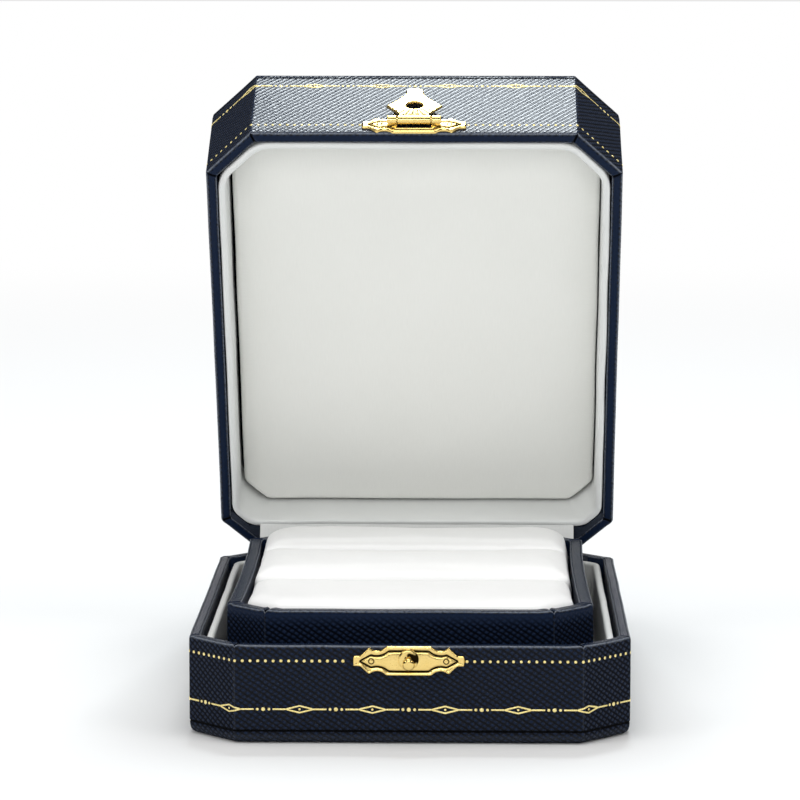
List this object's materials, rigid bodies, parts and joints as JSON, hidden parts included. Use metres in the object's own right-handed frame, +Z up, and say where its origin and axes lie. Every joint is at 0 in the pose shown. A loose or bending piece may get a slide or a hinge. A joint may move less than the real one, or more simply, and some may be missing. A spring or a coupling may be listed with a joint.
{
  "type": "ring box",
  "caption": "Octagonal two-ring presentation box: hinged padded lid, raised slotted cushion tray, navy leatherette with gilt border and swing-over hasp.",
  "frame": {"origin": "centre of the underside, on the surface the box stands on", "axes": "+Z up, -Y towards the clasp and the user, +X across the box to the user's right"},
  "size_m": [0.08, 0.1226, 0.1163],
  "materials": {
    "navy_leatherette": "satin",
    "white_lining": "satin",
    "cushion": "matte",
    "satin_pad": "satin",
    "hinge_cloth": "matte",
    "card": "matte",
    "gilt_brass": "polished",
    "hinge_steel": "satin"
  },
  "bodies": {
    "base": {"base_board": "navy_leatherette", "base_wall": "navy_leatherette", "base_floor_liner": "white_lining", "base_lining": "white_lining", "base_hinge_rail": "navy_leatherette", "tray_wall": "navy_leatherette", "tray_floor": "card", "cushion_front_roll": "cushion", "cushion_middle_roll": "cushion", "cushion_rear_roll": "cushion", "catch_plate": "gilt_brass", "catch_knob": "gilt_brass", "catch_tacks": "gilt_brass", "hinge_base_leaf": "hinge_steel", "hinge_base_tacks": "hinge_steel", "hinge_pin": "hinge_steel", "hinge_spring": "hinge_steel", "hinge_cover_cloth": "hinge_cloth"},
    "lid": {"lid_board": "navy_leatherette", "lid_wall": "navy_leatherette", "lid_lining": "white_lining", "lid_hinge_rail": "navy_leatherette", "lid_pad": "satin_pad", "lid_pad_board": "card", "hinge_lid_leaf": "hinge_steel", "hinge_lid_tacks": "hinge_steel", "hasp_plate": "gilt_brass", "hasp_pin": "gilt_brass", "hasp_tacks": "gilt_brass"},
    "hasp": {"hasp_tongue": "gilt_brass"}
  },
  "joints": [
    {"name": "lid_hinge", "type": "hinge", "parent": "base", "child": "lid", "pos_m": [0, 0.0486, 0.01805], "axis": [1, 0, 0], "range_deg": [0, 63.4], "deforming": ["hinge_cover_cloth"]},
    {"name": "hasp_pivot", "type": "hinge", "parent": "lid", "child": "hasp", "pos_m": [0, 0.00624, 0.10867], "axis": [1, 0, 0], "range_deg": [0, 180]}
  ]
}
